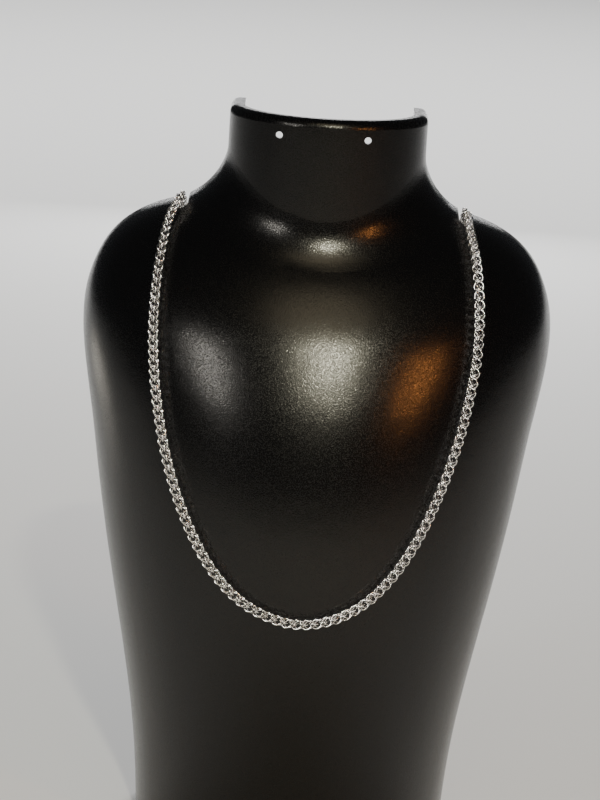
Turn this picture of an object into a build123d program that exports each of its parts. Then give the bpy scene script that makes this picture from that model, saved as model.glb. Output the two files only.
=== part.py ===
from build123d import *
import math
import os

# Chain necklace of round wire rings on a plain hollow neck bust.
# Millimetres. X is the width, -Y the front of the bust, Z is up.
# The origin is on the underside of the foot, below the axis of the neck.

# Neck bust
bust_height = 365.0
shoulder_width = 235.0
chest_depth = 93.0          # neck axis to the front of the chest
back_depth = 22.0           # neck axis to the open back
neck_width = 97.0
neck_depth = 42.0           # neck axis to the front of the neck
neck_root = 262.0           # the neck starts inside the chest
wall = 2.5
floor_thickness = 4.0
crease_radius = 34.0        # where the neck runs into the chest
lip_width = 7.0             # rim of the neck, turned in
lip_radius = 4.0
chest_power = 2.1           # 2 is an ellipse, more is a flatter chest
hole_diameter = 3.3
hole_spacing = 42.5
hole_drop = 9.0             # rim to the holes' centres
hole_shift = -2.0           # the two holes sit a little to one side
overrun = 10.0              # how far a cutting shape runs past what it cuts

# Levels of the chest: height as a share of bust_height, half width of half
# shoulder_width, front of chest_depth, and start of the side wall of back_depth.
# The first two only steady the loft, and the foot cuts them off.
LEVEL, WIDE, FRONT, SIDE = range(4)
chest_levels = [
    (-0.260, 0.620, 0.64, 0.00),
    (-0.130, 0.640, 0.74, 0.00),
    (0.000, 0.660, 0.840, 0.00),
    (0.130, 0.692, 0.920, 0.00),
    (0.280, 0.772, 0.980, 0.05),
    (0.430, 0.862, 1.000, 0.10),
    (0.500, 0.898, 0.984, 0.15),
    (0.570, 0.932, 0.944, 0.20),
    (0.630, 0.965, 0.887, 0.25),
    (0.690, 0.988, 0.807, 0.30),
    (0.730, 0.985, 0.741, 0.33),
    (0.770, 0.955, 0.647, 0.36),
    (0.825, 0.840, 0.46, 0.40),
    (0.857, 0.650, 0.27, 0.42),
    (0.866, 0.510, 0.14, 0.44),
    (0.873, 0.360, 0.04, 0.44),
]
curve_turns = [90, 75, 60, 45, 30, 15, 0]   # degrees, from the side to the front

# Chain, a limp string of small rings, drawn as the round tube that they fill
chain_diameter = 5.4
chain_gap = 0.35            # clear of the bust
chain_lift = 1.0            # keeps the straight runs clear of the rounded chest
chain_arc_share = 0.45      # of the shorter run at each corner
chain_end_gap = 0.5         # from the chain's end to the clasp's ring
# The way over the front, from the left shoulder to the right one: across as a
# share of half shoulder_width, and height of bust_height.
front_route = [
    (-0.6264, 0.8575), (-0.6426, 0.8370), (-0.6545, 0.8096), (-0.6630, 0.7740), (-0.6638, 0.7260),
    (-0.6494, 0.6699), (-0.6204, 0.6151), (-0.5830, 0.5658), (-0.5328, 0.5178), (-0.4664, 0.4712),
    (-0.3838, 0.4274), (-0.2740, 0.3896), (-0.1481, 0.3682), (-0.0085, 0.3570), (0.1311, 0.3647),
    (0.2553, 0.3863), (0.3557, 0.4186), (0.4443, 0.4616), (0.5106, 0.5088), (0.5634, 0.5562),
    (0.6077, 0.6041), (0.6374, 0.6534), (0.6604, 0.7027), (0.6630, 0.7521), (0.6545, 0.7890),
    (0.6409, 0.8178), (0.6230, 0.8397), (0.6060, 0.8575),
]
# The way through a shoulder notch and behind the neck to the clasp, the same on
# both sides: across and height as shares again, and millimetres behind the axis.
notch_across = 0.5957
back_route = [
    (notch_across, -8.0, 0.8718), (notch_across, 4.0, 0.8708), (notch_across, 13.5, 0.8564),
    (0.5872, 22.5, 0.8411), (0.5362, 33.0, 0.8288), (0.4383, 40.0, 0.8192), (0.2638, 43.5, 0.8118),
]
clasp_behind = 44.0
clasp_height = 0.8082       # share of bust_height

# Notches for the chain in the back edges of the shoulders
notch_width = 6.6
notch_front = -6.5          # how far forward a notch reaches
notch_floor = 0.795         # share of bust_height, in the open hollow below the shoulders

# Clasp, a plain barrel with a ring at each end, behind the neck
clasp_length = 9.0
clasp_diameter = 6.0
clasp_end_diameter = 3.6
clasp_band = 1.2            # raised band round the middle
clasp_ring_radius = 1.7     # to the middle of its wire
clasp_wire = 1.2


def front_curve(half_width, front, side_y, back_y, power):
    """Points of one level's left half, from the back round to the middle of the front."""
    points = [(-half_width, back_y)]
    for turn in curve_turns:
        across = math.sin(math.radians(turn)) ** (2 / power)
        depth = math.cos(math.radians(turn)) ** (2 / power)
        points.append((-half_width * across, side_y - (front + side_y) * depth))
    return points


def chest_sections(shrink, back_y):
    """Height and points of every level of the chest, made smaller all round by shrink."""
    sections = []
    for row in chest_levels:
        half_width = row[WIDE] * shoulder_width / 2 - shrink
        front = row[FRONT] * chest_depth - shrink
        points = front_curve(half_width, front, row[SIDE] * back_depth, back_y, chest_power)
        sections.append((row[LEVEL] * bust_height - shrink, points))
    return sections


def mirrored(points):
    """The same points on the right, from the front round to the back."""
    return [(-x, y) for x, y in points[::-1]]


# The outside of the bust, the hollow in it, and a form for the chain to lie on,
# all solid. The hollow is the outside made smaller by the wall, and runs out
# through the open back. The form is larger by the chain's radius and its gap.
chain_reach = chain_diameter / 2 + chain_gap + chain_lift
variants = [
    (0, back_depth, 0),
    (wall, back_depth + overrun, floor_thickness),
    (-chain_reach, back_depth, 0),
]
shapes = []
for shrink, back_y, foot in variants:
    with BuildPart() as shape:
        for height, points in chest_sections(shrink, back_y):
            with BuildSketch(Plane.XY.offset(height)):
                with BuildLine():
                    Spline(*points, tangents=[(0, -1), (1, 0)])
                    Spline(*mirrored(points), tangents=[(1, 0), (0, 1)])
                    Polyline((-points[0][0], back_y), (0, back_y), points[0])
                make_face()
        loft()
        half_width = neck_width / 2 - shrink
        with BuildSketch(Plane.XY.offset(neck_root)):
            with BuildLine():
                EllipticalCenterArc((0, 0), half_width, neck_depth - shrink, start_angle=180, arc_size=180)
                Polyline((half_width, 0), (half_width, back_y), (-half_width, back_y), (-half_width, 0))
            make_face()
        extrude(amount=bust_height - shrink - neck_root)
        rim = shape.faces().sort_by(Axis.Z)[-1].edges().sort_by(Axis.Y)[0]
        fillet(rim, lip_radius - shrink)
        crease = shape.edges().filter_by(
            lambda edge: edge.bounding_box().min.Y < 0
            and edge.bounding_box().min.Z > neck_root
            and edge.bounding_box().max.Z < bust_height - 2 * overrun
        )
        fillet(crease, crease_radius + shrink)
        split(bisect_by=Plane.XY.offset(foot), keep=Keep.TOP)
    shapes.append(shape.part)
outside, hollow, form = shapes

with BuildPart() as neck_bust:
    add(outside)
    add(hollow, mode=Mode.SUBTRACT)
    half_width = neck_width / 2 - lip_width
    with BuildSketch(Plane.XY.offset(bust_height - overrun)):
        Ellipse(half_width, neck_depth - lip_width)
        Rectangle(2 * half_width, back_depth + overrun, align=(Align.CENTER, Align.MIN))
    extrude(amount=2 * overrun, mode=Mode.SUBTRACT)
    with BuildSketch(Plane.XZ):
        with Locations((hole_shift, bust_height - hole_drop)):
            with GridLocations(hole_spacing, 0, 2, 1):
                Circle(hole_diameter / 2)
    extrude(amount=neck_depth + overrun, mode=Mode.SUBTRACT)
    with BuildSketch(Plane.XY.offset(notch_floor * bust_height)):
        notch_end = notch_front + notch_width / 2
        with GridLocations(notch_across * shoulder_width, 0, 2, 1):
            with Locations((0, notch_end)):
                Circle(notch_width / 2)
                Rectangle(notch_width, back_depth + overrun - notch_end, align=(Align.CENTER, Align.MIN))
    extrude(amount=(1 - notch_floor) * bust_height - overrun, mode=Mode.SUBTRACT)


def on_front(x, z):
    """Where a line straight back meets the form that the chain lies on."""
    ahead = Axis((x, -2 * chest_depth, z), (0, 1, 0))
    return min((point for point, _ in form.find_intersection_points(ahead)), key=lambda point: point.Y)


# The chain runs from one side of the clasp round the front to the other side,
# in straight runs joined by arcs.
half_shoulder = shoulder_width / 2
clasp_z = clasp_height * bust_height
clasp_reach = clasp_length / 2 + 2 * clasp_ring_radius + clasp_wire / 2
right_back = [Vector(across * half_shoulder, y, up * bust_height) for across, y, up in back_route]
right_back.append(Vector(clasp_reach + chain_end_gap, clasp_behind, clasp_z))
chain_points = [Vector(-point.X, point.Y, point.Z) for point in right_back[::-1]]
chain_points += [on_front(across * half_shoulder, up * bust_height) for across, up in front_route]
chain_points += right_back
runs = [after - before for before, after in zip(chain_points, chain_points[1:])]
turns = [before.get_angle(after) for before, after in zip(runs, runs[1:])]
radii = [
    chain_arc_share * min(before.length, after.length) / math.tan(math.radians(turn) / 2)
    for before, after, turn in zip(runs, runs[1:], turns)
]
print("chain radii", [round(radius) for radius in radii])
with BuildPart() as rope_chain:
    with BuildLine() as chain_path:
        FilletPolyline(*chain_points, radius=radii)
    chain_wire = chain_path.wires()[0]
    with BuildSketch(Plane(chain_wire @ 0, z_dir=chain_wire % 0)):
        Circle(chain_diameter / 2)
    sweep()
print("chain length", round(chain_wire.length, 1))

# The clasp is a barrel turned about X, with an upright ring at each end.
with BuildPart() as clasp:
    with BuildSketch(Plane.XY.offset(clasp_z)):
        with BuildLine():
            half_length = clasp_length / 2
            half_band = clasp_band / 2
            body_radius = clasp_diameter / 2 - half_band / 2
            Polyline(
                (-half_length, clasp_behind),
                (-half_length, clasp_behind + clasp_end_diameter / 2),
                (-half_length + clasp_band, clasp_behind + body_radius),
                (-half_band, clasp_behind + body_radius),
                (-half_band, clasp_behind + clasp_diameter / 2),
                (half_band, clasp_behind + clasp_diameter / 2),
                (half_band, clasp_behind + body_radius),
                (half_length - clasp_band, clasp_behind + body_radius),
                (half_length, clasp_behind + clasp_end_diameter / 2),
                (half_length, clasp_behind),
                close=True,
            )
        make_face()
    revolve(axis=Axis((0, clasp_behind, clasp_z), (1, 0, 0)))
    ring_x = half_length + clasp_ring_radius
    with Locations((-ring_x, clasp_behind, clasp_z), (ring_x, clasp_behind, clasp_z)):
        Torus(clasp_ring_radius, clasp_wire / 2, rotation=(90, 0, 0))

os.makedirs("parts", exist_ok=True)
neck_bust.part.label = "neck_bust"
rope_chain.part.label = "rope_chain"
clasp.part.label = "clasp"
export_step(neck_bust.part, "parts/neck_bust.step")
export_step(rope_chain.part, "parts/rope_chain.step")
export_step(clasp.part, "parts/clasp.step")
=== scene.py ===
import math

import bpy
import numpy as np
from mathutils import Matrix, Vector
from mathutils.interpolate import poly_3d_calc


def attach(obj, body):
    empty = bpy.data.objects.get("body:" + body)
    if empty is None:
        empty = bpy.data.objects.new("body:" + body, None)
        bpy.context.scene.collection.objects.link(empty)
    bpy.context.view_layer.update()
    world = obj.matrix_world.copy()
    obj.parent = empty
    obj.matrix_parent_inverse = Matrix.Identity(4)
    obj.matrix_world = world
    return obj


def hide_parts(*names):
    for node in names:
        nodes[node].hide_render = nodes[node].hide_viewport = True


# Chain necklace of round wire rings on a black neck bust. Metres, Z up, -Y is the front.
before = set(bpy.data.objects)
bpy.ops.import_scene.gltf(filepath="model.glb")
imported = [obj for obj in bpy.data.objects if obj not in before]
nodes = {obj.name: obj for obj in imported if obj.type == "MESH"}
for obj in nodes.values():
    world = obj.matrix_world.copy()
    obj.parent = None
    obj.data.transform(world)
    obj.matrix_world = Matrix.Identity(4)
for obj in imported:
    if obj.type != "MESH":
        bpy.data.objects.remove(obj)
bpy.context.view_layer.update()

# ---------------------------------------------------------------- helpers


def add_object(name, data):
    """A new object in the scene for a mesh, a curve, a lamp or a camera."""
    made = bpy.data.objects.new(name, data)
    bpy.context.scene.collection.objects.link(made)
    return made


def mesh_object(name, vertices, faces, material, smooth=True):
    """A mesh made from arrays, all its faces with the same number of corners."""
    mesh = bpy.data.meshes.new(name)
    vertices = np.asarray(vertices, float)
    faces = np.asarray(faces, int)
    corners = faces.shape[1]
    mesh.vertices.add(len(vertices))
    mesh.vertices.foreach_set("co", vertices.ravel())
    mesh.loops.add(faces.size)
    mesh.loops.foreach_set("vertex_index", faces.ravel())
    mesh.polygons.add(len(faces))
    mesh.polygons.foreach_set("loop_start", np.arange(len(faces)) * corners)
    mesh.polygons.foreach_set("use_smooth", np.full(len(faces), smooth))
    mesh.update(calc_edges=True)
    mesh.validate()
    mesh.materials.append(material)
    return add_object(name, mesh)


def new_material(name, colour, metallic=0.0, roughness=0.5, specular=0.5):
    """A material with a Principled shader. Gives (material, node tree, shader)."""
    material = bpy.data.materials.new(name)
    material.use_nodes = True
    tree = material.node_tree
    shader = tree.nodes["Principled BSDF"]
    shader.inputs["Base Color"].default_value = (*colour, 1)
    shader.inputs["Metallic"].default_value = metallic
    shader.inputs["Roughness"].default_value = roughness
    shader.inputs["Specular IOR Level"].default_value = specular
    return material, tree, shader


def noise(tree, scale, detail):
    """A noise texture on object coordinates, which are metres here."""
    where = tree.nodes.new("ShaderNodeTexCoord")
    texture = tree.nodes.new("ShaderNodeTexNoise")
    texture.inputs["Scale"].default_value = scale
    texture.inputs["Detail"].default_value = detail
    tree.links.new(where.outputs["Object"], texture.inputs["Vector"])
    return texture.outputs["Fac"]


def mottle(tree, shader, value, smoothest, roughest):
    """Makes the roughness vary with a noise, which is nearly always 0.3 to 0.7."""
    node = tree.nodes.new("ShaderNodeMapRange")
    node.inputs["From Min"].default_value = 0.3
    node.inputs["From Max"].default_value = 0.7
    node.inputs["To Min"].default_value = smoothest
    node.inputs["To Max"].default_value = roughest
    tree.links.new(value, node.inputs["Value"])
    tree.links.new(node.outputs["Result"], shader.inputs["Roughness"])


def bump(tree, shader, height, distance, strength, before=None):
    """Adds a bump to the shader's normal, after an earlier bump if there is one."""
    node = tree.nodes.new("ShaderNodeBump")
    node.inputs["Distance"].default_value = distance
    node.inputs["Strength"].default_value = strength
    tree.links.new(height, node.inputs["Height"])
    if before is not None:
        tree.links.new(before.outputs["Normal"], node.inputs["Normal"])
    tree.links.new(node.outputs["Normal"], shader.inputs["Normal"])
    return node


# ---------------------------------------------------------------- materials


def black_plastic():
    """Moulded black plastic, satin, with a fine grain that sparkles in the highlights."""
    material, tree, shader = new_material("black_plastic", (0.003, 0.003, 0.0035))
    mottle(tree, shader, noise(tree, scale=2000, detail=1), smoothest=0.12, roughest=0.34)
    coarse, finer = noise(tree, scale=1800, detail=0), noise(tree, scale=3000, detail=0)
    grain = bump(tree, shader, coarse, distance=0.00006, strength=0.8)
    bump(tree, shader, finer, distance=0.00003, strength=0.7, before=grain)
    return material


def silver_wire():
    """Polished silver-coloured wire."""
    material, tree, shader = new_material("silver_wire", (0.78, 0.76, 0.73), metallic=1.0)
    mottle(tree, shader, noise(tree, scale=500, detail=2), smoothest=0.09, roughest=0.18)
    bump(tree, shader, noise(tree, scale=1500, detail=1), distance=0.00002, strength=0.06)
    return material


black = black_plastic()
silver = silver_wire()

# ---------------------------------------------------------------- bust

# The bust's own mesh again, with the same form. The left of its chest takes the
# shading normals of the right mirrored, which run a little more evenly.
evened_left = -0.070        # across, where the left's own normals begin to give way
evened_left_fade = 0.010
evened_right = 0.001        # across, just past the middle
evened_right_fade = 0.002
evened_top = 0.314          # below the crease where the neck begins
evened_top_fade = 0.006
same_face_cosine = 0.9      # least likeness of two normals that may be mixed


def fade(inside, width):
    """From 0 at an edge to 1 at that width inside it."""
    return np.clip(inside / width, 0, 1)


def evened_normals(mesh, original):
    """Corner normals for a copy of the original's mesh, evened on the left of the chest."""
    own = np.zeros(len(mesh.loops) * 3)
    mesh.corner_normals.foreach_get("vector", own)
    own = own.reshape(-1, 3)
    evened = own.copy()
    corner_vertices = np.zeros(len(mesh.loops), int)
    mesh.loops.foreach_get("vertex_index", corner_vertices)
    places = np.array([v.co for v in mesh.vertices])[corner_vertices]
    across, up = places[:, 0], places[:, 2]
    share = fade(across - evened_left, evened_left_fade)
    share *= fade(evened_right - across, evened_right_fade)
    share *= fade(evened_top - up, evened_top_fade)
    for corner in np.nonzero(share > 0)[0]:
        x, y, z = places[corner]
        _, place, _, face = original.closest_point_on_mesh(Vector((abs(x), y, z)))
        polygon = original.data.polygons[face]
        weights = poly_3d_calc([original.data.vertices[v].co for v in polygon.vertices], place)
        mirrored = np.array(weights) @ own[list(polygon.loop_indices)] * (-1, 1, 1)
        if mirrored @ own[corner] > same_face_cosine:
            mixed = own[corner] * (1 - share[corner]) + mirrored * share[corner]
            evened[corner] = mixed / np.linalg.norm(mixed)
    return evened


bust = nodes["neck_bust"]
shell_mesh = bust.data.copy()
shell_mesh.name = "bust_shell"
shell_mesh.normals_split_custom_set(evened_normals(shell_mesh, bust).tolist())
shell_mesh.materials.clear()
shell_mesh.materials.append(black)
shell = add_object("bust_shell", shell_mesh)
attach(shell, "root")
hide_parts("neck_bust")
bpy.context.view_layer.update()

# ---------------------------------------------------------------- chain route

# The route's points, as in the part's source: over the front as shares of half the
# shoulder width and of the height, then through the notch and behind the neck, where
# the middle value is metres behind the axis. The last row is the chain's end.
half_shoulder = 0.1175
bust_height = 0.365
chain_reach = 0.00405       # from the bust's surface to the points over the front
front_route = [
    (-0.6264, 0.8575), (-0.6426, 0.8370), (-0.6545, 0.8096), (-0.6630, 0.7740),
    (-0.6638, 0.7260), (-0.6494, 0.6699), (-0.6204, 0.6151), (-0.5830, 0.5658),
    (-0.5328, 0.5178), (-0.4664, 0.4712), (-0.3838, 0.4274), (-0.2740, 0.3896),
    (-0.1481, 0.3682), (-0.0085, 0.3570), (0.1311, 0.3647), (0.2553, 0.3863),
    (0.3557, 0.4186), (0.4443, 0.4616), (0.5106, 0.5088), (0.5634, 0.5562),
    (0.6077, 0.6041), (0.6374, 0.6534), (0.6604, 0.7027), (0.6630, 0.7521),
    (0.6545, 0.7890), (0.6409, 0.8178), (0.6230, 0.8397), (0.6060, 0.8575),
]
back_route = [
    (0.5957, -0.0080, 0.8718), (0.5957, 0.0040, 0.8708), (0.5957, 0.0135, 0.8564),
    (0.5872, 0.0225, 0.8411), (0.5362, 0.0330, 0.8288), (0.4383, 0.0400, 0.8192),
    (0.2638, 0.0435, 0.8118), (0.0766, 0.0440, 0.8082),
]
ahead = -0.2                # well in front of the chest
close_enough = 1e-6


def on_front(across, up):
    """The place, straight back from the front, that is one reach off the bust's surface."""
    point = Vector((across * half_shoulder, ahead, up * bust_height))
    room = math.inf
    while room > close_enough:
        room = (point - shell.closest_point_on_mesh(point)[1]).length - chain_reach
        point.y += room
    return point


def smooth_line(points):
    """Places along a smooth curve that the given points guide, none of them twice."""
    curve = bpy.data.curves.new("chain_route", "CURVE")
    curve.dimensions = "3D"
    curve.resolution_u = 16
    spline = curve.splines.new("NURBS")
    spline.points.add(len(points) - 1)
    for guide, point in zip(spline.points, points):
        guide.co = (*point, 1)
    spline.order_u = 3
    spline.use_endpoint_u = True
    route_object = add_object("chain_route", curve)
    bpy.context.view_layer.update()
    mesh = bpy.data.meshes.new_from_object(route_object)
    places = np.array([v.co for v in mesh.vertices], float)
    bpy.data.objects.remove(route_object)
    steps = np.linalg.norm(np.diff(places, axis=0), axis=1)
    return places[np.r_[True, steps > 1e-7]]


right_back = [Vector((a * half_shoulder, y, u * bust_height)) for a, y, u in back_route]
route = [Vector((-p.x, p.y, p.z)) for p in right_back[::-1]]
route += [on_front(a, u) for a, u in front_route]
route += right_back
line = smooth_line(route)
along = np.r_[0, np.cumsum(np.linalg.norm(np.diff(line, axis=0), axis=1))]
chain_length = along[-1]


def centre(s):
    """The centreline's point at that length along it."""
    return np.stack([np.interp(s, along, line[:, i]) for i in range(3)], -1)


def carried(ways, start):
    """An axis across each way, carried both ways from the middle without turning about it."""
    axes = np.zeros_like(ways)
    middle = len(ways) // 2
    for order in (range(middle, len(ways)), range(middle, -1, -1)):
        axis = np.array(start)
        for i in order:
            axis = axis - ways[i] * (axis @ ways[i])
            axis /= np.linalg.norm(axis)
            axes[i] = axis
    return axes


# In the middle of the front the carried axis looks straight out of the bust.
look_length = 0.0004        # ahead and behind, to find the way along
stations = np.linspace(0, chain_length, 1601)
way = centre(stations + look_length) - centre(stations - look_length)
way /= np.linalg.norm(way, axis=1)[:, None]
outward = carried(way, (0.0, -1.0, 0.0))


def frame_at(s):
    """Centre, way along, outward axis and sideways axis of the chain at that length."""
    x = np.array([np.interp(s, stations, way[:, i]) for i in range(3)])
    x /= np.linalg.norm(x)
    z = np.array([np.interp(s, stations, outward[:, i]) for i in range(3)])
    z -= x * (z @ x)
    z /= np.linalg.norm(z)
    return centre(s), x, z, np.cross(z, x)


# ---------------------------------------------------------------- rings

# Each ring goes through the two before it and the two after it, and is turned a
# third of a turn about the chain from the one before. Turns are in degrees.
wire_radius = 0.00033
ring_radius = 0.00236       # to the middle of the wire
ring_pitch = 0.001605
ring_turn = 120.0
ring_start = 68.0           # turn of the middle ring from sideways to outward
ring_lean = 80.0            # from the way along to the ring's axis
ring_shift = 0.00035        # centre's distance from the chain's centreline
shift_turn = 25.0           # the shift's turn from the ring's axis
ring_sides, wire_sides = 16, 6
seam_guide = (0.3, 0.2, 0.9)    # a ring's corners start square to this and to its axis

# At each end of the chain a level ring goes through the clasp's ring. The first two
# rings after it go through it, each a little off level.
clasp_behind = 0.044
clasp_up = 0.8082 * bust_height
link_across = 0.00873       # centre of the level ring
end_rings = (0.0022, 0.0037)    # places of the first two from the chain's end
end_tilt = 30.0             # off level
end_turn = 0.12             # length over which they turn into the rest
upward = np.array((0, 0, 1.0))


def ring_corners(place, axis):
    """Corners of one ring about an axis."""
    a = np.cross(axis, seam_guide)
    a /= np.linalg.norm(a)
    b = np.cross(axis, a)
    u = np.arange(ring_sides) * 2 * math.pi / ring_sides
    v = np.arange(wire_sides) * 2 * math.pi / wire_sides
    out = np.cos(u)[:, None] * a + np.sin(u)[:, None] * b
    return (
        place
        + out[:, None] * (ring_radius + wire_radius * np.cos(v))[None, :, None]
        + axis * (wire_radius * np.sin(v))[None, :, None]
    ).reshape(-1, 3)


def ring_faces():
    """Four-cornered faces of one ring, for the order of ring_corners."""
    i, j = np.meshgrid(np.arange(ring_sides), np.arange(wire_sides), indexing="ij")
    next_i, next_j = (i + 1) % ring_sides, (j + 1) % wire_sides
    corners = [(i, j), (next_i, j), (next_i, next_j), (i, next_j)]
    return np.stack([a * wire_sides + b for a, b in corners], -1).reshape(-1, 4)


def turned(z, y, degrees):
    """A direction across the chain: 0 is to the outside of its curve, and 90 is outward."""
    turn = math.radians(degrees)
    return -y * math.cos(turn) + z * math.sin(turn)


def level_turn(s):
    """Turn at which a direction across the chain is level there."""
    _, x, z, y = frame_at(s)
    level = np.cross(x, upward)
    return math.degrees(math.atan2(level @ z, -(level @ y)))


def ring_turns(places):
    """The rings' turns about the chain, bent near its ends so that the end rings tilt."""
    turns = ring_start + ring_turn * (np.arange(len(places)) - len(places) // 2)
    for end, tilt in ((0, end_tilt), (len(places) - 1, -end_tilt)):
        missing = level_turn(places[end]) + tilt - turns[end]
        missing = (missing + 90) % 180 - 90     # a ring looks the same half a turn on
        turns += missing * np.clip(1 - np.abs(places - places[end]) / end_turn, 0, 1)
    return turns


def ring_at(s, turn):
    """Centre and axis of the ring at that length."""
    place, x, z, y = frame_at(s)
    lean = math.radians(ring_lean)
    axis = x * math.cos(lean) + turned(z, y, turn) * math.sin(lean)
    return place + turned(z, y, turn + shift_turn) * ring_shift, axis


first, second = end_rings
inner_count = round((chain_length - 2 * second) / ring_pitch)
ring_places = np.linspace(second, chain_length - second, inner_count + 1)
ring_places = np.r_[first, ring_places, chain_length - first]
rings = [ring_at(s, turn) for s, turn in zip(ring_places, ring_turns(ring_places))]
for across in (-link_across, link_across):
    rings.append((np.array((across, clasp_behind, clasp_up)), upward))

corners = np.concatenate([ring_corners(place, axis) for place, axis in rings])
ring_size = ring_sides * wire_sides
faces = np.concatenate([ring_faces() + k * ring_size for k in range(len(rings))])
chain = mesh_object("chain_rings", corners, faces, silver)
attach(chain, "root")
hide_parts("rope_chain")

# ---------------------------------------------------------------- clasp

clasp = nodes["clasp"]
clasp.data.materials.clear()
clasp.data.materials.append(silver)

# ---------------------------------------------------------------- stage

floor_reach = 9             # from the middle
floor_quarters = ((-1, -1), (1, -1), (1, 1), (-1, 1))
floor_corners = [(x * floor_reach, y * floor_reach, 0) for x, y in floor_quarters]
floor_material, _, _ = new_material(
    "pale_floor", (0.78, 0.78, 0.77), roughness=0.7, specular=0.2
)
floor = mesh_object("floor", floor_corners, [(0, 1, 2, 3)], floor_material, smooth=False)

world = bpy.data.worlds.new("studio")
world.use_nodes = True
sky = world.node_tree.nodes["Background"]
sky.inputs["Color"].default_value = (0.80, 0.84, 0.90, 1)
sky.inputs["Strength"].default_value = 0.05
bpy.context.scene.world = world

# ---------------------------------------------------------------- lamps

chest_place = (0, 0, 0.23)
behind_place = (0, 2.7, 0)  # on the floor behind the bust


def lamp(name, azimuth, elevation, distance, width, height, watts, colour, aim=chest_place):
    """An oval soft light. Azimuth 0 is the camera's side and 90 is to the right."""
    data = bpy.data.lights.new(name, "AREA")
    data.shape = "ELLIPSE"
    data.size = width
    data.size_y = height
    data.energy = watts
    data.color = colour
    made = add_object(name, data)
    a, e = math.radians(azimuth), math.radians(elevation)
    back = Vector((math.sin(a) * math.cos(e), -math.cos(a) * math.cos(e), math.sin(e)))
    made.location = Vector(aim) + back * distance
    made.rotation_mode = "QUATERNION"
    made.rotation_quaternion = back.to_track_quat("Z", "Y")
    made.visible_camera = False
    return made


def lights_only(light, *things):
    """Leaves a light to some things alone, as flags and grids do in a studio."""
    group = bpy.data.collections.new(light.name + "_things")
    for thing in things:
        group.objects.link(thing)
    light.light_linking.receiver_collection = group


# The chest shows the first four as soft patches. A row has a lamp's name, azimuth,
# elevation, distance, width, height, watts and colour.
white = (1, 1, 1)
soft_white = (1.0, 0.98, 0.95)
for row in (
    ("chest_white", 5, 30.5, 2.2, 0.09, 0.04, 18, (1.0, 0.95, 0.72)),
    ("chest_haze", 2, 50, 2.2, 0.8, 1.0, 3.6, (1.0, 0.84, 0.55)),
    ("chest_grey", -38, 20.5, 2.2, 0.32, 0.08, 5.5, (1.0, 0.95, 0.86)),
    ("chest_warm", 38, 19.5, 2.2, 0.24, 0.05, 5, (1.0, 0.36, 0.09)),
    ("side", -120, -14, 0.9, 0.30, 0.16, 0.3, (1.0, 0.93, 0.80)),
    ("back", 180, 4, 1.8, 0.7, 0.5, 3, white),
):
    lamp(*row)

# The floor is lit from straight above it. Softboxes round the silver are kept off
# the black plastic, which would show them as wide grey patches.
lights_only(lamp("floor_light", 180, 88, 2.5, 3.4, 2.4, 150, white, behind_place), floor)
for row in (
    ("silver_left", -24, 36, 1.5, 0.7, 0.6, 20, soft_white),
    ("silver_right", 32, 8, 1.5, 0.7, 0.6, 8, soft_white),
    ("silver_back", 165, 30, 1.5, 0.7, 0.6, 8, soft_white),
):
    lights_only(lamp(*row), chain, clasp)

# ---------------------------------------------------------------- camera

photo_height = 800          # pixels, the longer side
focal_length = 3293         # in the same pixels
sensor_height = 36          # millimetres, also along the longer side
camera_place = Vector((0, -1.6, 0.58417))
camera_aim = Vector((-0.00593, 0, 0.21842))
camera_roll = 3.44          # degrees

camera_data = bpy.data.cameras.new("camera")
camera_data.sensor_width = sensor_height
camera_data.lens = focal_length * sensor_height / photo_height
camera_data.clip_start, camera_data.clip_end = 0.05, 60
camera = add_object("camera", camera_data)
camera.location = camera_place
look = (camera_aim - camera_place).to_track_quat("-Z", "Y")
roll = Matrix.Rotation(math.radians(camera_roll), 4, "Z").to_quaternion()
camera.rotation_mode = "QUATERNION"
camera.rotation_quaternion = look @ roll
bpy.context.scene.camera = camera
